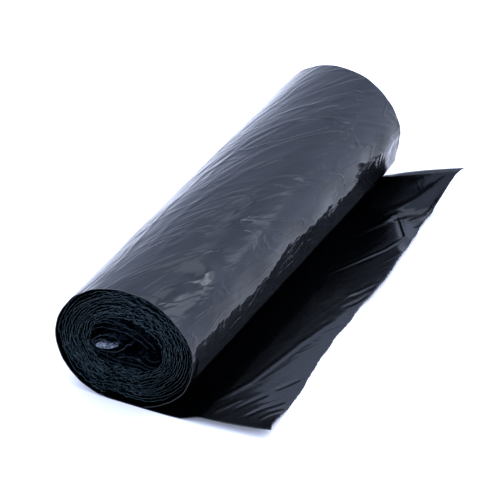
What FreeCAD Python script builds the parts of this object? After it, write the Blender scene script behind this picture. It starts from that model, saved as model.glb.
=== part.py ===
import FreeCAD, Part
import math
import os

# A coreless roll of bin bags that lies on its side. One long film, folded to the roll's length,
# is wound on itself round an open eye. Its last turn lies flat on the floor under the roll and
# goes on beside it as a loose end, whose far corner stands up. The loose end is a solid of its
# own, which meets the flat strip under the roll face to face.
# X points to the loose end, Y runs along the roll from the near end to the far end, Z is up.
# The origin is on the floor, in the middle of the flat strip on which the roll rests.
# Sizes are in millimetres.

SIZES = {
    # the roll as it lies, a little squashed by its own weight
    "roll_length": 289.0,
    "roll_width": 90.0,
    "near_height": 80.0,
    "far_height": 83.5,
    # the flat spot on the floor
    "flat_width": 34.0,
    "floor_press": 1.6,
    # the wound film, with one turn for each thick band of film that the end shows
    "film_thickness": 1.4,
    "turn_gap": 0.35,
    "turn_count": 14.0,
    # the crushed first turn, which hangs loose in the eye
    "first_loop_width": 17.0,
    "first_loop_height": 9.0,
    "first_loop_offset": 8.0,
    # how far the inner turns stand back from the outermost one at each end
    "end_recess": 2.5,
    "end_wander": 0.8,
    # the loose end: its reach from the origin, its skew and its lifted corners
    "near_reach": 91.0,
    "middle_reach": 78.5,
    "far_reach": 93.0,
    "near_flare_span": 110.0,
    "edge_skew": 7.0,
    "near_lift": 6.0,
    "near_lift_span": 45.0,
    "far_lift": 34.0,
    "far_lift_span": 44.0,
}

# The film's outline is a chain of cubic curves, PIECES to a turn. The first of them is the flat
# bottom, and the others share the oval on both sides of it and above it equally.
PIECES = 8
DOWNWARD = math.radians(270)
FLAT_ANGLE = math.radians(22)
PIECE_ANGLE = (2 * math.pi - 2 * FLAT_ANGLE) / (PIECES - 1)
# The first loop takes this many pieces, and is fully crushed after the share below of them.
LOOP_PIECES = 10
CRUSH_SHARE = 0.6
# The edges of the film draw back over the first of these turns from the outside, and wander.
RECESS_START = 0.6
RECESS_SPAN = 1.4
WANDER_RATE = 2.3
# The step, in turns, over which the outline's direction is measured.
STEP = 0.002

# Rows of poles in the loose end: shares of its reach, and distances from its two ends.
ACROSS_SHARES = (0.0, 0.1, 0.35, 0.7, 1.0)
NEAR_ROWS = (0.0, 16.0, 50.0)
FAR_ROWS = (80.0, 38.0, 20.0, 8.0, 0.0)
# How the lift of the corners grows across the loose end.
NEAR_LIFT_POWER = 2.5
FAR_LIFT_BULGE = 0.8
FAR_SPAN_TAPER = 0.5


def new_sheet(doc):
    """The spreadsheet that holds the driving dimensions, one aliased cell each."""
    sheet = doc.addObject("Spreadsheet::Sheet", "sizes")
    for row, (name, value) in enumerate(SIZES.items(), start=1):
        sheet.set(f"A{row}", name)
        sheet.set(f"B{row}", str(value))
        sheet.setAlias(f"B{row}", name)
    doc.recompute()
    return sheet


def smooth(share):
    """A soft step from 0 to 1 as share goes from 0 to 1."""
    share = min(max(share, 0.0), 1.0)
    return share * share * (3 - 2 * share)


def mix(first, second, share):
    """The first value at a share of 0, the second at 1, and in between on the way from one to the other."""
    return first + (second - first) * share


def spline_face(poles, degrees, knots):
    """A face with the given grid of poles, whose knots are evenly spaced and clamped."""
    surface = Part.BSplineSurface()
    mults = [[degree + 1] + [1] * (count - 2) + [degree + 1] for degree, count in zip(degrees, knots)]
    places = [[i / (count - 1) for i in range(count)] for count in knots]
    surface.buildFromPolesMultsKnots(poles, *mults, *places, False, False, *degrees)
    return surface.toShape()


def closed_solid(faces):
    """One solid from faces that meet edge to edge."""
    shell = Part.Shell(faces)
    shell.sewShape()
    solid = Part.Solid(Part.Shell(shell.Faces))
    if solid.Volume < 0:
        solid.reverse()
    return solid


class Winding:
    """The wound film, described by its outline at the two ends of the roll. A turn is counted
    from the eye, and below 0 it belongs to the loose first loop."""

    def __init__(self, sheet):
        self.length = sheet.roll_length
        self.press = sheet.floor_press
        self.flat = sheet.flat_width / 2
        self.film = sheet.film_thickness
        self.pitch = sheet.film_thickness + sheet.turn_gap
        self.turns = int(sheet.turn_count)
        self.half_width = (sheet.roll_width + self.pitch) / 2
        self.loop = (sheet.first_loop_width / 2, sheet.first_loop_height / 2)
        self.loop_offset = sheet.first_loop_offset
        self.recess = sheet.end_recess
        self.wander = sheet.end_wander
        self.heights = {"near": sheet.near_height, "far": sheet.far_height}

    def outline(self, turn, end, inset):
        """The film's outline, inset by nothing or by its thickness, and by the pitch in each turn."""
        depth = self.pitch * (self.turns - max(turn, 0.0)) + inset
        crushed = smooth(-turn * PIECES / (LOOP_PIECES * CRUSH_SHARE))
        width = mix(self.half_width - depth, self.loop[0] - inset, crushed)
        half_height = (self.heights[end] + self.press + self.pitch) / 2
        rise = mix(half_height - depth, self.loop[1] - inset, crushed)
        centre = (self.heights[end] - self.press) / 2
        place = turn % 1 * PIECES
        if place <= 1:
            x = self.flat * width / self.half_width * (2 * place - 1)
            floor = self.pitch * (self.turns - max(turn // 1, 0.0)) + inset
            z = mix(floor, centre - rise, crushed)
        else:
            angle = DOWNWARD + FLAT_ANGLE + (place - 1) * PIECE_ANGLE
            x = width * math.cos(angle)
            z = centre + rise * math.sin(angle)
        return FreeCAD.Vector(x - self.loop_offset * crushed, 0, z)

    def stand_back(self, turn):
        """How far the film's edge lies inside the roll's length at a turn."""
        inside = smooth((self.turns - turn - RECESS_START) / RECESS_SPAN)
        return inside * (self.recess + self.wander * math.sin(WANDER_RATE * turn))

    def film_edge(self, turn, end, inset):
        """A point on the film's edge at one end, and the curve's handle there: a third of the
        way that it goes in one piece. At the ends of the flat bottom the flat gives the handle."""
        place = turn % 1 * PIECES
        back = turn if place == 0 else turn - STEP
        ahead = turn if place == 1 else turn + STEP
        handle = self.outline(ahead, end, inset) - self.outline(back, end, inset)
        handle *= 1 / ((ahead - back) * PIECES * 3)
        point = self.outline(turn, end, inset)
        half = self.length / 2 - self.stand_back(turn)
        point.y = -half if end == "near" else half
        return point, handle

    def edge_poles(self, end, inset):
        """The film's edge as a chain of cubic curves: the four poles of each."""
        count = self.turns * PIECES + LOOP_PIECES
        stops = [self.film_edge(self.turns - i / PIECES, end, inset) for i in range(count, -1, -1)]
        return [
            [start, start + start_handle, stop - stop_handle, stop]
            for (start, start_handle), (stop, stop_handle) in zip(stops, stops[1:])
        ]

    def solid(self):
        """The film between its outer and inner sides, from the near end to the far end."""
        corners = [("near", 0.0), ("far", 0.0), ("far", self.film), ("near", self.film)]
        edges = [self.edge_poles(end, inset) for end, inset in corners]
        faces = []
        for one, other in zip(edges, edges[1:] + edges[:1]):
            for pair in zip(one, other):
                faces.append(spline_face(list(zip(*pair)), (3, 1), (2, 2)))
        for corner in ([edge[0][0] for edge in edges], [edge[-1][-1] for edge in edges]):
            near_outer, far_outer, far_inner, near_inner = corner
            faces.append(spline_face([[near_outer, far_outer], [near_inner, far_inner]], (1, 1), (2, 2)))
        return closed_solid(faces)


class LooseEnd:
    """The film beyond the roll: across runs from 0 at the roll to 1 at the free edge."""

    def __init__(self, sheet):
        self.length = sheet.roll_length
        self.start = sheet.flat_width / 2
        self.film = sheet.film_thickness
        self.middle_reach = sheet.middle_reach
        self.near_flare = (sheet.near_reach - sheet.middle_reach, sheet.near_flare_span)
        self.far_flare = sheet.far_reach - sheet.middle_reach
        self.skew = sheet.edge_skew
        self.near_lift = (sheet.near_lift, sheet.near_lift_span)
        self.far_lift = (sheet.far_lift, sheet.far_lift_span)

    def pole(self, across, from_near):
        """A pole of the underside. The first two rows stay on the floor, level with the roll's flat."""
        from_far = self.length - from_near
        free = max(across - ACROSS_SHARES[1], 0.0) / (1 - ACROSS_SHARES[1])
        near_flare = self.near_flare[0] * smooth(1 - from_near / self.near_flare[1])
        near_lift = self.near_lift[0] * smooth(1 - from_near / self.near_lift[1]) * free**NEAR_LIFT_POWER
        far_share = smooth(1 - from_far / (self.far_lift[1] * (1 - FAR_SPAN_TAPER * across)))
        far_lift = self.far_lift[0] * far_share * free * (1 + FAR_LIFT_BULGE - FAR_LIFT_BULGE * free)
        reach = self.middle_reach + near_flare + self.far_flare * far_share**2
        return FreeCAD.Vector(
            self.start + (reach - self.start) * across,
            from_near - self.length / 2 + self.skew * across,
            near_lift + far_lift,
        )

    def solid(self):
        """The underside and the top, joined all round the film's edge."""
        rows = list(NEAR_ROWS) + [self.length - row for row in FAR_ROWS]
        under = [[self.pole(across, row) for row in rows] for across in ACROSS_SHARES]
        top = raised(under, self.film)
        knots = (len(ACROSS_SHARES) - 2, len(rows) - 2)
        faces = [spline_face(grid, (3, 3), knots) for grid in (under, top)]
        for lower, upper in ((under[0], top[0]), (under[-1], top[-1])):
            faces.append(spline_face([lower, upper], (1, 3), (2, knots[1])))
        for column in (0, -1):
            lower, upper = ([row[column] for row in grid] for grid in (under, top))
            faces.append(spline_face([lower, upper], (1, 3), (2, knots[0])))
        return closed_solid(faces)


def raised(grid, distance):
    """A grid of poles moved by a distance, square to the surface that they make."""
    moved = []
    for i, row in enumerate(grid):
        moved.append([])
        for j, pole in enumerate(row):
            outward = grid[min(i + 1, len(grid) - 1)][j] - grid[max(i - 1, 0)][j]
            onward = row[min(j + 1, len(row) - 1)] - row[max(j - 1, 0)]
            moved[-1].append(pole + outward.cross(onward).normalize() * distance)
    return moved


def build(doc):
    sheet = new_sheet(doc)

    winding = doc.addObject("Part::Feature", "winding")
    winding.Shape = Winding(sheet).solid()

    rest_strip = doc.addObject("Part::Box", "rest_strip")
    rest_strip.setExpression("Length", "sizes.flat_width")
    rest_strip.setExpression("Width", "sizes.roll_length")
    rest_strip.setExpression("Height", "sizes.film_thickness")
    rest_strip.setExpression("Placement.Base.x", "-sizes.flat_width / 2")
    rest_strip.setExpression("Placement.Base.y", "-sizes.roll_length / 2")

    loose_end = doc.addObject("Part::Feature", "loose_end")
    loose_end.Shape = LooseEnd(sheet).solid()

    roll = doc.addObject("Part::MultiFuse", "roll")
    roll.Label = "bag_roll"
    roll.Shapes = [winding, rest_strip]
    doc.recompute()
    return [roll, loose_end]


def write_parts(doc, parts):
    """Stops on any feature that failed, then writes each part as its own STEP file."""
    for item in doc.Objects:
        if {"Invalid", "Error"} & set(item.State):
            raise RuntimeError(f"{item.Name} failed: {item.State}")
    os.makedirs("parts", exist_ok=True)
    for part in parts:
        shape = part.Shape
        if shape.isNull() or not shape.isValid() or len(shape.Solids) != 1:
            raise RuntimeError(f"{part.Label} is not one valid solid")
        shape.exportStep(f"parts/{part.Label}.step")
        box = shape.BoundBox
        print(f"{part.Label}: {box.XLength:.1f} x {box.YLength:.1f} x {box.ZLength:.1f} mm,",
              f"{shape.Volume / 1000:.0f} cm3, {len(shape.Faces)} faces")


doc = FreeCAD.newDocument("bin_bag_roll")
write_parts(doc, build(doc))
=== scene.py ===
import math

import bpy
import numpy as np
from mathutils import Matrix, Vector
from mathutils.noise import noise


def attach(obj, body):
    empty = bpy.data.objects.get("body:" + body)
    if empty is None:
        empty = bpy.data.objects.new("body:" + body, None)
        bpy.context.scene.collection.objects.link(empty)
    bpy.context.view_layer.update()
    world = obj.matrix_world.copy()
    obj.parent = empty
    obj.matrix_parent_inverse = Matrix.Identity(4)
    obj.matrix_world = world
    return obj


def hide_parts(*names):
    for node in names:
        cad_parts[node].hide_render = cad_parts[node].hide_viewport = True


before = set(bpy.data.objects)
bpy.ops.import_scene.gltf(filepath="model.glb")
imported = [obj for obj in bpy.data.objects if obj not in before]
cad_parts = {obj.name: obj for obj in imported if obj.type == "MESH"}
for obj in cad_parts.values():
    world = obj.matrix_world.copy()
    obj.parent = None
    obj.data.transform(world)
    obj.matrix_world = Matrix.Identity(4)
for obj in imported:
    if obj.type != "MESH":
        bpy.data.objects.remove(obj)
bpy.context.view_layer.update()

# A coreless roll of bin bags that lies on its side: the outermost turn, the turns wound inside it,
# the crushed film in its eye, and the loose end beside it.
# X points to the loose end, Y runs along the roll from the near end to the far end, and Z is up.
# The pieces are in millimetres until a mesh is made. Materials, lights and the camera are in metres.
MM = 0.001

# the roll
HALF_LENGTH = 144.5
HALF_WIDTH = 45.0
NEAR_HEIGHT = 77.0
FAR_HEIGHT = 86.5
# how far the near end's right side is raised, and how far to the right the far end lies
NEAR_TILT = 2.6
FAR_SHIFT = 1.5
# how far the oval dips below the floor, and the share of the dip that is left where the floor flattens it
PRESS = 1.2
FLOOR_GIVE = 0.02

# the film's thickness, and the loose end's height over the floor under the roll
PLY = 0.45
LOOSE_LIFT = 0.15
# the mean radius of the outermost film, by which its angles become lengths, and the length of one degree
# on it, rounded
ARC_RADIUS = 42.0
ARC_PER_DEGREE = 0.733

# The slack film on the right side hangs flat between two angles. The upper one is in degrees at each y.
SLACK_TOP = [
    (-145, 11), (-130, 12), (-117, 11), (-100, 10), (-87, 9), (-70, 7), (-59, 6.5), (-45, 9), (-30, 12),
    (-7, 13), (15, 10), (35, 9), (49, 7), (60, 4), (75, 4), (90, 5), (102, 4), (115, 7), (126, 4),
    (136, 8), (145, 5),
]
SLACK_BOTTOM = math.radians(-22)
# the depth over which the slack fades towards the inner turns
SLACK_FADE = 9.0
# At the near mouth the slack starts with this share and is whole after this length.
MOUTH_SLACK = 0.15
MOUTH_SPAN = 11.0

# the turns inside the outermost one
WOUND_TURNS = 15
STEPS_PER_TURN = 240
TURN_PITCH = 1.3
RIBBON_THICKNESS = 0.42
FIRST_DEPTH = 1.25
FIRST_ANGLE = math.radians(252)
# The ribbon's profile at its edge: how far in from the edge, and the share of its thickness from its
# middle, where plus is the side that faces the eye.
RIBBON_PROFILE = [
    (0.0, -0.35), (0.0, 0.35), (0.35, 0.5), (1.1, 0.5), (2.4, 0.5), (6.0, 0.5), (16.0, 0.5), (60.0, 0.5),
]
# how many of the profile's first points round the edge and have no twin on the other side
ROUNDED_POINTS = 3

# The folds of the outermost film: their course as (angle in degrees, y), their height and their width.
FOLDS = [
    ([(44, -102), (42, -98), (39, -95)], 0.6, 2.2),
    ([(112, -144), (116, -100), (122, -50), (119, -5), (101, 30), (82, 70), (66, 100)], 0.55, 3.2),
    ([(104, -40), (112, 0), (106, 39), (88, 65), (66, 86), (50, 97), (28, 122), (10, 143)], 0.50, 3.0),
    ([(100, -110), (103, -70), (97, -35), (84, 0), (70, 30), (58, 60)], 0.45, 3.5),
    ([(88, -118), (90, -90), (84, -60), (74, -30), (62, -10), (50, 8)], 0.40, 3.2),
    ([(126, -130), (134, -80), (140, -30), (138, 20), (124, 70), (104, 110), (90, 140)], 0.50, 3.5),
    ([(150, -140), (156, -70), (160, 0), (152, 70), (138, 130)], 0.45, 4.5),
    ([(72, -60), (66, -30), (54, -5), (44, 12), (36, 30)], 0.35, 2.6),
    ([(62, 20), (50, 55), (40, 75), (30, 88)], 0.40, 2.6),
    ([(96, 60), (82, 92), (66, 115), (52, 132)], 0.40, 3.0),
    ([(46, 100), (36, 118), (27, 130), (20, 141)], 0.55, 1.8),
    ([(52, 102), (43, 121), (35, 134)], 0.55, 1.8),
    ([(40, 40), (30, 60), (22, 84)], 0.35, 2.4),
    ([(70, -142), (66, -128), (56, -112), (48, -104)], 0.40, 2.4),
    ([(44, -140), (40, -120), (43, -104), (38, -96)], 0.35, 3.0),
    ([(30, -135), (27, -112), (24, -96), (18, -84)], 0.40, 3.0),
    ([(30, -70), (24, -50), (20, -30), (14, -12)], 0.35, 3.0),
]
# the share of the height above that every fold gets
FOLD_SHARE = 0.68
# The dents of the outermost film: angle in degrees, y, depth (a bulge where it is below zero) and radius.
DENTS = [
    # the bright dimple and the patches around it
    (51, -108.5, 1.25, 7.0), (50, -97.5, -1.25, 7.0), (38, -138, 1.1, 12.0), (40, -113, -0.8, 10.0),
    # along the border of the slack film
    (33, -118, 0.5, 8.0), (20, -128, 0.5, 7.0), (24, -92, -0.5, 8.0), (18, -70, 0.5, 9.0),
    (14, -46, -0.5, 8.0), (16, -15, 0.5, 9.0), (10, 14, -0.6, 9.0), (12, 44, 0.6, 8.0),
    (8, 70, -0.5, 7.0), (10, 96, 0.6, 8.0), (14, 124, -0.7, 8.0),
    # wide ones over the rest of the roll
    (95, 20, 0.4, 14.0), (75, -20, -0.35, 12.0), (120, 90, 0.4, 14.0), (200, -30, 0.5, 16.0),
    (190, 60, -0.5, 16.0), (170, -90, 0.4, 14.0),
]
FINE_WRINKLE_COUNT = 150
# the outermost film's height over its oval: a constant, and its limits
OUTER_OFFSET = -0.15
DEEPEST = -1.2
HIGHEST = 1.3

# The loose turns in the eye: course as (x, z), thickness, reach along Y, recess of the edge and height of
# the waves.
EYE_TURNS = [
    ([(-27, 46), (-20, 50), (-12, 51.5), (-3, 51), (6, 48.5), (13, 44.5), (18, 40)], 0.5, 141.2, 1.5, 0.7),
    ([(-25, 31), (-20, 28), (-13, 25.8), (-6, 25), (2, 25.5), (9, 26), (15, 24.5)], 0.5, 141.2, 1.5, 0.6),
    ([(-20, 24.5), (-12, 22.8), (-4, 22.4), (5, 23), (12, 22.5), (18, 24), (22, 27)], 0.5, 141.4, 1.5, 0.6),
    # the eye-shaped loop
    ([(-2, 38.5), (-5, 41), (-11, 42), (-17, 40.5), (-22, 36), (-22.5, 33.5), (-19, 31), (-13, 29.8),
      (-6, 31.5), (-1.5, 35), (1, 39), (4, 39.5)], 0.5, 142.0, 1.0, 0.35),
    # the turn inside it
    ([(-21, 34.2), (-18, 36.6), (-14, 37.4), (-10, 36.8), (-7, 37.8), (-4, 38.5)], 0.6, 141.5, 0.6, 0.3),
    # turns above it
    ([(-25, 37), (-22, 42), (-16, 45), (-8, 46), (0, 45), (7, 43), (14, 39.5)], 0.5, 141.0, 1.5, 0.5),
    ([(-23, 44), (-15, 48.5), (-6, 49.5), (2, 48), (6, 46)], 0.5, 140.5, 1.5, 0.6),
    # the folds at the lower right of the eye
    ([(22, 41), (23.5, 36), (22.5, 31), (19, 27.5), (14, 27), (9, 29.5), (5, 31), (-1, 29.5), (-8, 27)],
     0.5, 141.0, 1.5, 0.5),
    ([(20.5, 33), (17.5, 30.5), (13.5, 31), (10.5, 33.5)], 0.5, 140.0, 1.5, 0.4),
    # the fold at the left corner of the eye
    ([(-24.5, 41), (-27, 37.5), (-26.5, 33), (-23, 29.5), (-17, 27)], 0.5, 141.0, 1.2, 0.4),
]

# the loose end, and its x where it starts under the roll
LOOSE_START = -17.0
# how much further along the roll the free edge lies
SKEW = 5.5
# the free edge, as x at each y
REACH = [
    (-137.5, 90.8), (-130, 88.2), (-117, 86.6), (-91, 85.1), (-56, 81.8), (-29, 79.9), (8, 80.4), (25, 82.4),
    (52, 81.4), (84, 79.6), (105, 77.6), (120, 76.2), (132, 77.8), (150, 91.0),
]
# the crease at which the sheet starts to fall to the free edge, as x at each y
BREAK = [
    (-150, 40.0), (-137, 44.0), (-119, 50.0), (-97, 56.5), (-46, 65.0), (4, 76.0), (20, 84.0), (60, 92.0),
    (150, 110.0),
]
# how steeply it falls there, how steeply it rises further along the roll, and how round the crease is
FALL = 0.085
RISE = 0.07
BREAK_RADIUS = 1.2
# the height of the lifted corners, and the lengths over which they lift
NEAR_LIFT = 6.0
NEAR_LIFT_SPAN = 42.0
FAR_LIFT = 26.5
FAR_LIFT_SPAN = 46.0
# The creases of the loose end: course as (x, y), height (a valley where it is below zero) and width.
CREASES = [
    # dark streaks near the near corner
    ([(71, -99), (76, -88), (81, -76)], -0.45, 1.3),
    ([(68, -137), (75, -116), (84, -97)], -0.4, 1.3),
    ([(60, -131), (66, -113), (71, -100)], -0.35, 1.3),
    ([(78, -133), (81, -121), (86, -110)], 0.35, 1.2),
    ([(50, -139), (57, -124), (61, -112)], 0.25, 1.4),
    # along the border of the grey band
    ([(36, -141), (50, -119), (57, -97), (65, -46), (76, 4)], 0.35, 1.6),
    ([(66, 12), (73, 20), (79, 34)], 0.35, 1.4),
    ([(70, 0), (77, 12), (80, 22)], -0.3, 1.4),
    # the bent bright crease and its neighbour
    ([(40, 20), (52.7, 44.6), (67.5, 73.7), (73.7, 93.3), (62, 112), (52, 126)], 0.6, 1.1),
    ([(30, 60), (42, 84), (52, 104), (60, 132)], 0.5, 2.2),
    # the fan at the far corner
    ([(88, 148), (76, 139), (62, 129), (46, 119)], 0.9, 2.0),
    ([(86, 145), (74, 132), (62, 119), (52, 106)], -0.6, 2.4),
    ([(89, 149), (78, 143), (66, 138), (50, 132)], -0.5, 2.2),
    ([(84, 141), (75, 125), (67, 109)], 0.8, 2.0),
    ([(82, 136), (77, 120), (73, 104)], -0.7, 1.6),
    ([(80, 146), (68, 141), (54, 139)], 0.5, 1.6),
]


def mix(first, second, share):
    """The value at a share of the way from the first to the second."""
    return first + (second - first) * share


def smooth(share):
    """An even share as one that starts and ends softly."""
    share = np.clip(share, 0.0, 1.0)
    return share * share * (3 - 2 * share)


def bump(distance, width):
    """1 at no distance, falling off softly within a few widths."""
    return np.exp(-((distance / width) ** 2))


def cloud(first, second, third, seed):
    """Smooth noise from -1 to 1 at the points that have these coordinates."""
    points = np.stack(np.broadcast_arrays(first, second, third), -1).astype(float)
    shift = np.array([seed * 17.3, seed * 5.9, seed * 31.1])
    values = [noise(Vector(point + shift)) for point in points.reshape(-1, 3)]
    return np.array(values).reshape(points.shape[:-1])


# the form of the roll
slack_y = np.linspace(-146, 146, 700)
slack_wander = 2.4 * cloud(slack_y / 7, 0.4, 0.0, 61) + 1.3 * cloud(slack_y / 2.6, 0.4, 0.0, 62)
slack_top = np.radians(np.interp(slack_y, *zip(*SLACK_TOP)) + slack_wander)


def slack(angle, y, depth):
    """How far the slack film on the right side stands in from the oval."""
    top = np.interp(y, slack_y, slack_top)
    middle = (top + SLACK_BOTTOM) / 2
    half = (top - SLACK_BOTTOM) / 2
    turned = (angle + math.pi) % (2 * math.pi) - math.pi - middle
    inside = np.abs(turned) < half
    sag = 1 - np.cos(half) / np.cos(np.where(inside, turned, half))
    mouth = mix(MOUTH_SLACK, 1.0, smooth((y + HALF_LENGTH - 1) / MOUTH_SPAN))
    return np.where(inside, HALF_WIDTH * sag, 0.0) * np.exp(-depth / SLACK_FADE) * mouth


def section(angle, y, depth):
    """A point of the roll's section, at an angle above +X and a depth below the outermost film."""
    depth = depth + slack(angle, y, depth)
    share = (y + HALF_LENGTH) / (2 * HALF_LENGTH)
    height = mix(NEAR_HEIGHT, FAR_HEIGHT, share)
    tilt = mix(NEAR_TILT, 0.0, share)
    half_width = HALF_WIDTH - depth
    half_height = (height + PRESS) / 2 - depth
    x = half_width * np.cos(angle) + mix(0.0, FAR_SHIFT, share)
    z = (height - PRESS) / 2 + half_height * np.sin(angle) + tilt * np.cos(angle) * half_width / HALF_WIDTH
    lowest = depth + PLY + LOOSE_LIFT
    return x, np.where(z < lowest, lowest + (z - lowest) * FLOOR_GIVE, z)


# meshes
def new_piece(name, shape, material):
    """A smooth mesh object from points in millimetres and faces."""
    points, faces = shape
    mesh = bpy.data.meshes.new(name)
    mesh.from_pydata((np.asarray(points, float) * MM).tolist(), [], faces)
    mesh.materials.append(material)
    mesh.polygons.foreach_set("use_smooth", [True] * len(mesh.polygons))
    mesh.update()
    piece = bpy.data.objects.new(name, mesh)
    bpy.context.scene.collection.objects.link(piece)
    return piece


def grid_faces(rows, columns, wrap=False, start=0):
    """Quads of a grid of points that is stored row by row."""
    faces = []
    for row in range(rows - 1):
        here = start + row * columns
        for column in range(columns if wrap else columns - 1):
            following = (column + 1) % columns
            faces.append((here + column, here + following,
                          here + columns + following, here + columns + column))
    return faces


def slab(points, thickness):
    """A sheet's grid of points and its copy, moved by a thickness along the normals, joined round the rim."""
    normal = np.cross(np.gradient(points, axis=0), np.gradient(points, axis=1))
    normal /= np.linalg.norm(normal, axis=2, keepdims=True)
    rows, columns = points.shape[:2]
    count = rows * columns
    both = np.concatenate([points.reshape(-1, 3), (points + normal * thickness).reshape(-1, 3)])
    faces = [face[::-1] for face in grid_faces(rows, columns)] + grid_faces(rows, columns, start=count)
    rim = list(range(columns))
    rim += [row * columns + columns - 1 for row in range(1, rows)]
    rim += [(rows - 1) * columns + column for column in range(columns - 2, -1, -1)]
    rim += [row * columns for row in range(rows - 2, 0, -1)]
    for first, second in zip(rim, rim[1:] + rim[:1]):
        faces.append((first, second, second + count, first + count))
    return both, faces


# materials
def node(tree, kind, inputs, **settings):
    """A new node. Each of its inputs is a value, or the output of another node, which is linked."""
    made = tree.nodes.new(kind)
    for name, value in settings.items():
        setattr(made, name, value)
    for name, value in inputs.items():
        if isinstance(value, bpy.types.NodeSocket):
            tree.links.new(value, made.inputs[name])
        else:
            made.inputs[name].default_value = value
    return made


def shader(name, base, roughness, tint, shine):
    """A new material of plastic with a tinted reflection, with its node tree and its shader."""
    material = bpy.data.materials.new(name)
    material.use_nodes = True
    tree = material.node_tree
    surface = tree.nodes["Principled BSDF"]
    surface.inputs["Base Color"].default_value = (*base, 1)
    surface.inputs["Roughness"].default_value = roughness
    surface.inputs["IOR"].default_value = 1.5
    surface.inputs["Specular Tint"].default_value = (*tint, 1)
    surface.inputs["Specular IOR Level"].default_value = shine
    return material, tree, surface


def drawn_out_noise(tree, place, turn, scale, detail, roughness, distortion):
    """Noise that is stretched along the roll's helix."""
    stretched = node(tree, "ShaderNodeMapping", {
        "Vector": place,
        "Rotation": (0, 0, math.radians(turn)),
        "Scale": scale,
    }, vector_type="TEXTURE")
    made = node(tree, "ShaderNodeTexNoise", {
        "Vector": stretched.outputs["Vector"],
        "Scale": 1.0,
        "Detail": detail,
        "Roughness": roughness,
        "Distortion": distortion,
    })
    return made.outputs["Fac"]


def raised(tree, height, distance, normal=None):
    """The normal of a surface that a height raises by a distance."""
    inputs = {"Strength": 1.0, "Distance": distance, "Height": height}
    if normal:
        inputs["Normal"] = normal
    return node(tree, "ShaderNodeBump", inputs).outputs["Normal"]


def film_material(name, wrinkle, fold):
    """Shiny, nearly black film with wrinkles and thin folds that run along the roll's helix."""
    grain = 0.00002
    least_rough, most_rough = 0.12, 0.22
    material, tree, surface = shader(
        name, base=(0.0003, 0.0004, 0.0006), roughness=least_rough, tint=(0.88, 0.95, 1.0), shine=0.28)
    place = node(tree, "ShaderNodeTexCoord", {}).outputs["Object"]
    broad = drawn_out_noise(tree, place, -21, (0.010, 0.045, 0.010), 3.0, 0.55, 0.0)
    veins = drawn_out_noise(tree, place, -24, (0.016, 0.085, 0.016), 2.0, 0.5, 0.6)
    fine = node(tree, "ShaderNodeTexNoise", {
        "Vector": place,
        "Scale": 420.0,
        "Detail": 2.0,
        "Roughness": 0.5,
    })
    # a fold runs where the veins pass their middle value
    off_middle = node(tree, "ShaderNodeMath", {0: veins, 1: 0.5}, operation="SUBTRACT")
    gap = node(tree, "ShaderNodeMath", {0: off_middle.outputs[0]}, operation="ABSOLUTE")
    crest = node(tree, "ShaderNodeMapRange", {
        "Value": gap.outputs[0],
        "From Min": 0.0,
        "From Max": 0.045,
        "To Min": 1.0,
        "To Max": 0.0,
    }, interpolation_type="SMOOTHSTEP")
    normal = raised(tree, crest.outputs["Result"], fold)
    normal = raised(tree, broad, wrinkle, normal)
    normal = raised(tree, fine.outputs["Fac"], grain, normal)
    tree.links.new(normal, surface.inputs["Normal"])
    spread = node(tree, "ShaderNodeMapRange", {"Value": broad, "To Min": least_rough, "To Max": most_rough})
    tree.links.new(spread.outputs["Result"], surface.inputs["Roughness"])
    return material


def crinkled_painted_glint_material(name, base, painted_highlight, roughness, depth, shine):
    """Film that is crushed into small facets by a bump, with patches of painted highlight in its colour where
    the facets would catch the light.
    """
    material, tree, surface = shader(name, base, roughness, (0.55, 0.86, 1.0), shine)
    place = node(tree, "ShaderNodeTexCoord", {}).outputs["Object"]
    facets = node(tree, "ShaderNodeTexNoise", {
        "Vector": place,
        "Scale": 520.0,
        "Detail": 2.5,
        "Roughness": 0.6,
    })
    tree.links.new(raised(tree, facets.outputs["Fac"], depth), surface.inputs["Normal"])
    # patches of painted highlight: where this noise is high, the colour turns from the dark base to a lighter
    # painted tone
    patches = node(tree, "ShaderNodeTexNoise", {
        "Vector": place,
        "Scale": 260.0,
        "Detail": 4.0,
        "Roughness": 0.8,
    })
    # painted shade: the patches of painted highlight thin out towards the roll's right side
    split = node(tree, "ShaderNodeSeparateXYZ", {"Vector": place})
    right_side_painted_shade = node(tree, "ShaderNodeMapRange", {
        "Value": split.outputs["X"],
        "From Min": 0.004,
        "From Max": 0.040,
        "To Min": 0.0,
        "To Max": 0.22,
    })
    light = node(tree, "ShaderNodeMath", {
        0: patches.outputs["Fac"],
        1: right_side_painted_shade.outputs["Result"],
    }, operation="SUBTRACT")
    # the colour: the dark base, and the painted highlight on the patches
    painted_highlight_tones = node(tree, "ShaderNodeValToRGB", {"Fac": light.outputs[0]})
    dark_stop, painted_highlight_stop = painted_highlight_tones.color_ramp.elements
    dark_stop.position = 0.51
    dark_stop.color = (*base, 1)
    painted_highlight_stop.position = 0.68
    painted_highlight_stop.color = (*painted_highlight, 1)
    tree.links.new(painted_highlight_tones.outputs["Color"], surface.inputs["Base Color"])
    return material


# courses of folds and creases
def distance_to(course, first, second):
    """How far each point lies from a course of straight runs, and at what share of the course."""
    best = np.full(first.shape, 1e9)
    share = np.zeros(first.shape)
    runs = len(course) - 1
    for run in range(runs):
        (first0, second0), (first1, second1) = course[run:run + 2]
        along_first = first1 - first0
        along_second = second1 - second0
        length_squared = along_first**2 + along_second**2
        part = ((first - first0) * along_first + (second - second0) * along_second) / length_squared
        part = np.clip(part, 0, 1)
        gap = np.hypot(first - first0 - part * along_first, second - second0 - part * along_second)
        nearer = gap < best
        best = np.where(nearer, gap, best)
        share = np.where(nearer, (run + part) / runs, share)
    return best, share


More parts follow.
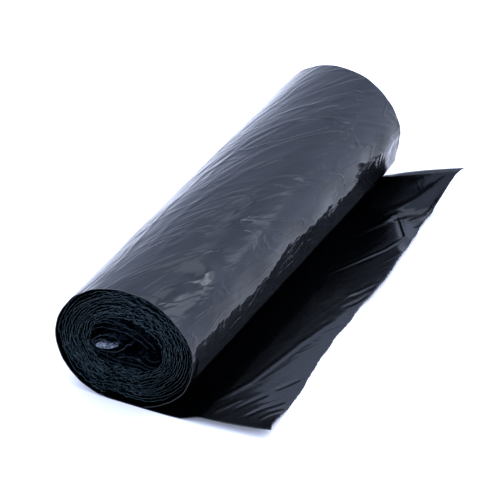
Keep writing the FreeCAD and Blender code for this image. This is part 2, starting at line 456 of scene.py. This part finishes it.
def ridge(course, first, second, width, trough, run_out):
    """A soft ridge of height 1 along a course, with troughs beside it, which fades out at both ends."""
    gap, share = distance_to(course, first, second)
    fade = smooth(np.minimum(share, 1 - share) * run_out)
    return fade * (bump(gap, width) - trough * bump(gap, width * 2.2))


def on_film(course):
    """A course as (angle in degrees, y), with its angles as lengths along the outermost film."""
    return [(math.radians(angle) * ARC_RADIUS, y) for angle, y in course]


def fine_wrinkles():
    """Many short thin wrinkles along the helix, spread over the film from a fixed seed."""
    chance = np.random.default_rng(7)
    pieces = 4
    wrinkles = []
    for _ in range(FINE_WRINKLE_COUNT):
        angle, y = chance.uniform(14, 245), chance.uniform(-143, 130)
        length, slope = chance.uniform(25, 95), chance.normal(-0.40, 0.13)
        bend = chance.normal(0, 0.10)
        step = length / pieces
        course = [(angle, y)]
        for piece in range(pieces):
            angle += step * (slope + bend * (piece - 1.5)) / ARC_PER_DEGREE
            y += step
            course.append((angle, min(y, HALF_LENGTH - 1.5)))
        wrinkles.append((course, chance.uniform(0.06, 0.20), chance.uniform(1.0, 1.9)))
    return wrinkles


# the pieces
def outer_height(angle, y):
    """How far the outermost film stands out from its oval, before its limits."""
    arc = angle * ARC_RADIUS
    height = np.zeros(angle.shape)
    for course, high, wide in FOLDS:
        height += FOLD_SHARE * high * ridge(on_film(course), arc, y, wide / 2, trough=0.5, run_out=5)
    for course, high, wide in fine_wrinkles():
        height += high * ridge(on_film(course), arc, y, wide, trough=0.5, run_out=4)
    for at, middle, deep, radius in DENTS:
        gap = np.hypot(arc - math.radians(at) * ARC_RADIUS, (y - middle) * 0.7)
        height -= deep * bump(gap, radius)
    # noise, stretched along the helix
    lean = math.radians(24)
    across = arc * math.cos(lean) + y * math.sin(lean)
    along = y * math.cos(lean) - arc * math.sin(lean)
    height += 0.5 * cloud(across / 16, along / 60, 0.3, 1) + 0.12 * cloud(across / 6, along / 26, 0.7, 2)
    # the slack film on the lower right side is dented
    low_side = bump(angle - math.radians(4), 0.35)
    height += low_side * 0.35 * cloud(arc / 12, y / 22, 0.9, 3)
    # both mouths are a little loose and crinkled
    mouth = np.exp(-(HALF_LENGTH - np.abs(y)) / 5.0)
    return height + mouth * 0.45 * cloud(arc / 7, y / 40, 1.9, 4)


def outer_film():
    """The outermost turn, from the floor under the right side, over the top, to the floor again."""
    angles = np.radians(np.linspace(-74, 258, 300))
    inner_y = HALF_LENGTH - 1.1
    rim_y = np.array([HALF_LENGTH - 0.3, HALF_LENGTH])
    ys = np.concatenate([-rim_y[::-1], np.linspace(-inner_y, inner_y, 312), rim_y])
    angle, y = np.meshgrid(angles, ys, indexing="ij")
    x, z = section(angle, y, np.zeros(angle.shape))
    calm = smooth((z - 2.0) / 6.0)
    height = np.clip(outer_height(angle, y), DEEPEST, HIGHEST) * calm + OUTER_OFFSET
    outside = np.stack([x + np.cos(angle) * height, y, z + np.sin(angle) * height], -1)
    height = height - PLY
    inside = np.stack([x + np.cos(angle) * height, y, z + np.sin(angle) * height], -1)
    # the inner side is seen only in the mouths, so it is a strip of three columns in each
    strip = 3
    near = inside[:, [0, 2, 6]]
    far = inside[:, [-1, -3, -7]]
    rows, columns = angle.shape
    near_start = rows * columns
    far_start = near_start + strip * rows
    points = np.concatenate([outside.reshape(-1, 3), near.reshape(-1, 3), far.reshape(-1, 3)])
    faces = grid_faces(rows, columns)
    faces += [face[::-1] for face in grid_faces(rows, strip, start=near_start)]
    faces += grid_faces(rows, strip, start=far_start)
    for row in range(rows - 1):
        here, following = row * columns, (row + 1) * columns
        strip_here, strip_following = strip * row, strip * (row + 1)
        faces.append((following, here, near_start + strip_here, near_start + strip_following))
        faces.append((here + columns - 1, following + columns - 1,
                      far_start + strip_following, far_start + strip_here))
    return points, faces


def wound_film():
    """The turns inside the outermost one, as one ribbon wound to the eye."""
    count = WOUND_TURNS * STEPS_PER_TURN + 1
    turn = np.arange(count) / STEPS_PER_TURN
    angle = FIRST_ANGLE - 2 * np.pi * turn

    def ring(radius, rate, seed):
        """Noise that neighbouring turns share, finer with a larger radius and rate."""
        return cloud(np.cos(angle) * radius, np.sin(angle) * radius, turn * rate, seed)

    middle = FIRST_DEPTH + TURN_PITCH * turn + 0.9 * smooth(turn / 2.5)
    # the crinkles are strongest above and below the eye, where the film was pinched
    pinch = 0.28 + 0.8 * bump(np.cos(angle + 0.25), 0.45)
    # where the turns bunch together and part, and the crinkles that only their edges have
    wave = 1.3 * ring(2.2, 0.23, 11) + 1.3 * ring(9, 0.55, 12) * pinch
    fret = 1.5 * ring(22, 1.4, 13) * pinch
    recess = 2.2 + 0.9 * ring(1.5, 0.8, 14) + 1.1 * ring(12, 1.9, 15)
    recess += 0.7 * ring(34, 3.1, 16) + 1.9 * ring(3, 2.9, 17)
    recess = 0.9 + np.maximum(recess, 0.4) * smooth(turn * 1.4 + 0.35)
    # the ribbon's section: along its inner side from the near edge to the far one, and back outside
    straight = RIBBON_PROFILE[ROUNDED_POINTS:]
    outline = [(-1, inward, side) for inward, side in RIBBON_PROFILE]
    outline += [(1, inward, side) for inward, side in reversed(RIBBON_PROFILE)]
    outline += [(1, inward, -side) for inward, side in straight]
    outline += [(-1, inward, -side) for inward, side in reversed(straight)]
    rails = []
    for end, inward, side in outline:
        depth = middle + RIBBON_THICKNESS * side
        depth = depth + wave * (0.25 + 0.75 * math.exp(-inward / 6.0)) + fret * math.exp(-inward / 1.3)
        y = end * (HALF_LENGTH - recess - inward)
        x, z = section(angle, y, depth)
        rails.append(np.stack([x, y, z], -1))
    points = np.stack(rails, 1).reshape(-1, 3)
    columns = len(outline)
    faces = grid_faces(count, columns, wrap=True)
    faces.append(tuple(range(columns)))
    faces.append(tuple(range((count - 1) * columns, count * columns))[::-1])
    return points, faces


def eye_turn(course, thickness, reach, recess, wave, seed):
    """A strip of film that follows a course in the section (x, z), from end to end of the roll."""
    spacing, least_stations, smoothing_rounds = 0.6, 12, 6
    course = np.asarray(course, float)
    steps = np.r_[0, np.cumsum(np.hypot(*np.diff(course, axis=0).T))]
    stations = np.linspace(0, steps[-1], max(least_stations, int(steps[-1] / spacing)))
    line = np.stack([np.interp(stations, steps, course[:, axis]) for axis in range(2)], -1)
    for _ in range(smoothing_rounds):
        line[1:-1] = (line[:-2] + 2 * line[1:-1] + line[2:]) / 4
    # the rows lie close at both edges, which are seen, and draw back there
    plain = 60.0
    from_edge = np.array([0.0, 0.5, 2.0, 6.0, 16.0])
    ys = np.concatenate([from_edge - reach, [-plain, plain], reach - from_edge[::-1]])
    way, y = np.meshgrid(stations, ys, indexing="ij")
    drawn_back = recess * (0.5 + 0.5 * cloud(way / 5, np.sign(y), 0.2, seed))
    y = y - np.sign(y) * drawn_back * (np.abs(y) > plain)
    fret = wave * cloud(way / 2.6, y / 30, 0.4, seed + 1)
    tangent = np.gradient(line, axis=0)
    tangent /= np.linalg.norm(tangent, axis=1, keepdims=True)
    x = line[:, None, 0] - tangent[:, None, 1] * fret
    z = line[:, None, 1] + tangent[:, None, 0] * fret
    return slab(np.stack([x, y, z], -1), thickness)


def eye_film():
    """The crushed turns in the eye, all of one mesh."""
    points, faces = [], []
    start = 0
    for number, (course, thickness, reach, recess, wave) in enumerate(EYE_TURNS):
        made, quads = eye_turn(course, thickness, reach, recess, wave, 21 + 3 * number)
        points.append(made)
        faces += [tuple(start + corner for corner in quad) for quad in quads]
        start += len(made)
    return np.concatenate(points), faces


def eye_lip():
    """The film inside the eye-shaped loop, which slants back into the roll and shines, partly by its own
    reflection and partly by a highlight painted into its light colour.
    """
    left, right, set_back, slant, thickness = -20.0, -5.5, 2.6, 7.0, 0.3
    x, back = np.meshgrid(np.linspace(left, right, 24), np.linspace(0, slant, 12), indexing="ij")
    share = (x - left) / (right - left)
    bow = np.sin(math.pi * share)
    z = 32.2 + 3.6 * share - 1.6 * bow + 0.75 * back * (0.4 + 0.6 * bow)
    z = z + 0.35 * cloud(x / 4, back / 6, 0.0, 51)
    return slab(np.stack([x, back + set_back - HALF_LENGTH, z], -1), thickness)


def free_edge(edge_y):
    """The x of the free edge: its reach, smoothed, with waves and the fine teeth of a torn perforation."""
    kernel = np.hanning(21)
    padded = np.pad(np.interp(edge_y, *zip(*REACH)), 10, mode="edge")
    reach = np.convolve(padded, kernel / kernel.sum(), mode="valid")
    return reach + 0.35 * cloud(edge_y / 2.2, 0.0, 0.5, 31) + 0.9 * cloud(edge_y / 15, 0.0, 0.1, 32)


def loose_film():
    """The loose end: from under the roll over the floor to the free edge, with its far corner lifted."""
    stations = np.concatenate([[0, 0.002], np.linspace(0.006, 0.994, 400), [0.998, 1]])
    across, along = np.meshgrid(np.linspace(0, 1, 110), stations, indexing="ij")
    y = (along * 2 - 1) * HALF_LENGTH + SKEW * smooth((across - 0.2) / 0.8) * across
    reach = free_edge((stations * 2 - 1) * HALF_LENGTH + SKEW)[None, :]
    x = LOOSE_START + (reach - LOOSE_START) * across
    # a low arch, which comes down to the floor at the free edge
    before_edge = np.maximum(reach - np.interp(y, *zip(*BREAK)), 0.0)
    from_edge = np.maximum(reach - x, 0.0)
    fall = -BREAK_RADIUS * np.logaddexp(-before_edge / BREAK_RADIUS, -from_edge / BREAK_RADIUS)
    fall = fall + BREAK_RADIUS * math.log(2) * (before_edge < 1)
    lift = FALL * np.maximum(fall, 0.0) * smooth((x - 34) / 16)
    lift = lift + RISE * np.maximum(x - 40, 0.0) * smooth((y + 5) / 30)
    # the two lifted corners, of which the far one curls back a little
    free = np.clip((x - 20) / 65, 0, 1.1)
    from_near = y + HALF_LENGTH
    from_far = HALF_LENGTH + SKEW * across - y
    lift = lift + NEAR_LIFT * smooth(1 - from_near / NEAR_LIFT_SPAN) * free**2.5
    far_share = smooth(1 - from_far / (FAR_LIFT_SPAN * (1 - 0.45 * across)))
    lift = lift + FAR_LIFT * far_share * np.sqrt(free) * smooth(free / 0.25)
    lift = lift - 0.045 * np.maximum(6.5 - from_far, 0.0) ** 2 * smooth(free / 0.4)
    # the start follows the roll's lower left side up a little
    lift = lift + 1.3 * smooth((-11 - x) / 6)
    # creases, and noise that is stretched across the sheet, only beside the roll
    open_share = smooth((x - 26) / 14)
    for course, high, wide in CREASES:
        lift = lift + high * open_share * ridge(course, x, y, wide, trough=0.4, run_out=4)
    lean = math.radians(-38)
    over = x * math.cos(lean) + y * math.sin(lean)
    onward = y * math.cos(lean) - x * math.sin(lean)
    soft = 0.10 * cloud(over / 13, onward / 42, 0.3, 33) + 0.02 * cloud(x / 7, y / 9, 0.6, 34)
    lift = lift + open_share * (soft + 0.25)
    # the free edge is wavy, more so towards the far corner
    edge_wave = smooth(1 - (reach - x) / 8) * (0.2 + 0.5 * smooth((y - 60) / 40))
    lift = lift + edge_wave * open_share * cloud(y / 11, x / 40, 0.8, 35)
    # nothing reaches below the floor
    ground = 0.12
    least = 0.2
    z = ground + np.where(lift > least, lift, least * np.exp((lift - least) / least))
    return slab(np.stack([x, y, np.maximum(z, 0.05)], -1), PLY)


film = film_material("film", wrinkle=0.00042, fold=0.00012)
flat_film = film_material("flat_film", wrinkle=0.00022, fold=0.00004)
# The lighter tones of these materials are painted highlights: lighter patches in the colour of the dark cut
# edges and loops, where crushed facets would catch the light.
cut_edges = crinkled_painted_glint_material(
    "cut_edges", base=(0.0005, 0.0016, 0.0022), painted_highlight=(0.023, 0.037, 0.040),
    roughness=0.15, depth=0.0010, shine=0.36)
loop_film = crinkled_painted_glint_material(
    "loop_film", base=(0.0006, 0.0013, 0.0026), painted_highlight=(0.019, 0.032, 0.042),
    roughness=0.14, depth=0.0008, shine=0.12)
# the lip's light base and its lighter tone are a painted highlight, far paler than the black film, for its
# shine
loop_lip_painted_highlight = crinkled_painted_glint_material(
    "loop_lip_painted_highlight", base=(0.03, 0.04, 0.05), painted_highlight=(0.38, 0.39, 0.45),
    roughness=0.20, depth=0.0008, shine=0.38)

outer = new_piece("outer_turn", outer_film(), film)
wound = new_piece("wound_turns", wound_film(), cut_edges)
eye = new_piece("eye_film", eye_film(), loop_film)
lip = new_piece("eye_lip", eye_lip(), loop_lip_painted_highlight)
loose = new_piece("loose_film", loose_film(), flat_film)

for piece in (outer, wound, eye, lip):
    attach(piece, "root")
    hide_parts("bag_roll")
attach(loose, "root")
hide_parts("loose_end")


# the surroundings
def white_floor(half_size):
    """A pale floor without a sheen."""
    mesh = bpy.data.meshes.new("floor")
    corners = [(-half_size, -half_size, 0), (half_size, -half_size, 0),
               (half_size, half_size, 0), (-half_size, half_size, 0)]
    mesh.from_pydata(corners, [], [(0, 1, 2, 3)])
    made = bpy.data.objects.new("floor", mesh)
    bpy.context.scene.collection.objects.link(made)
    ground = bpy.data.materials.new("ground")
    ground.use_nodes = True
    surface = ground.node_tree.nodes["Principled BSDF"]
    surface.inputs["Base Color"].default_value = (0.96, 0.94, 0.91, 1)
    surface.inputs["Roughness"].default_value = 0.9
    surface.inputs["Specular IOR Level"].default_value = 0.0
    mesh.materials.append(ground)
    return made


def studio():
    """Pale blue surroundings, darker high up and brighter to the right of the roll than to its left."""
    world = bpy.data.worlds.new("studio")
    bpy.context.scene.world = world
    world.use_nodes = True
    tree = world.node_tree
    tree.nodes.clear()
    place = node(tree, "ShaderNodeTexCoord", {})
    split = node(tree, "ShaderNodeSeparateXYZ", {"Vector": place.outputs["Generated"]})
    ramp = node(tree, "ShaderNodeValToRGB", {"Fac": split.outputs["Z"]})
    horizon, zenith = ramp.color_ramp.elements
    horizon.color = (1.12, 1.26, 1.70, 1)
    zenith.color = (0.83, 0.95, 1.39, 1)
    side = node(tree, "ShaderNodeMapRange", {
        "Value": split.outputs["X"],
        "From Min": -0.7,
        "From Max": 0.6,
        "To Min": 1.24,
        "To Max": 1.68,
    })
    back = node(tree, "ShaderNodeBackground", {
        "Color": ramp.outputs["Color"],
        "Strength": side.outputs["Result"],
    })
    node(tree, "ShaderNodeOutputWorld", {"Surface": back.outputs[0]})


def area_light(name, place, size, power, colour):
    """A square light that faces the roll."""
    roll_middle = Vector((0, 0, 0.04))
    lamp = bpy.data.lights.new(name, "AREA")
    lamp.shape = "SQUARE"
    lamp.size = size
    lamp.energy = power
    lamp.color = colour
    made = bpy.data.objects.new(name, lamp)
    made.location = place
    made.rotation_mode = "QUATERNION"
    made.rotation_quaternion = (roll_middle - Vector(place)).to_track_quat("-Z", "Y")
    bpy.context.scene.collection.objects.link(made)


def photo_camera(azimuth, elevation, target, distance):
    """A camera that looks at a target from a distance, with the photo's slight shift."""
    lens = bpy.data.cameras.new("camera")
    lens.lens = 158.3
    lens.sensor_width = 36
    lens.shift_x = 0.0229
    lens.shift_y = -0.0577
    level = math.cos(elevation)
    way = Vector((math.sin(azimuth) * level, math.cos(azimuth) * level, -math.sin(elevation)))
    made = bpy.data.objects.new("camera", lens)
    made.location = Vector(target) - way * distance
    made.rotation_mode = "QUATERNION"
    made.rotation_quaternion = way.to_track_quat("-Z", "Y")
    bpy.context.scene.collection.objects.link(made)
    return made


white_floor(half_size=6.0)
studio()
area_light("key", (-0.2, 0.4, 2.2), size=2.4, power=32, colour=(0.95, 0.98, 1.04))
# two lights whose reflections are the soft patches and the bright dimple on the roll's upper right
area_light("soft_glint", (0.95, 0.92, 0.90), size=0.5, power=1.9, colour=(0.96, 0.96, 1.08))
area_light("spark", (0.82, 0.74, 1.15), size=0.28, power=2.3, colour=(0.95, 0.97, 1.0))
bpy.context.scene.camera = photo_camera(
    azimuth=math.radians(-26.8), elevation=math.radians(30.81), target=(0, 0, 0.045), distance=1.35)
bpy.context.scene.view_settings.view_transform = "Standard"
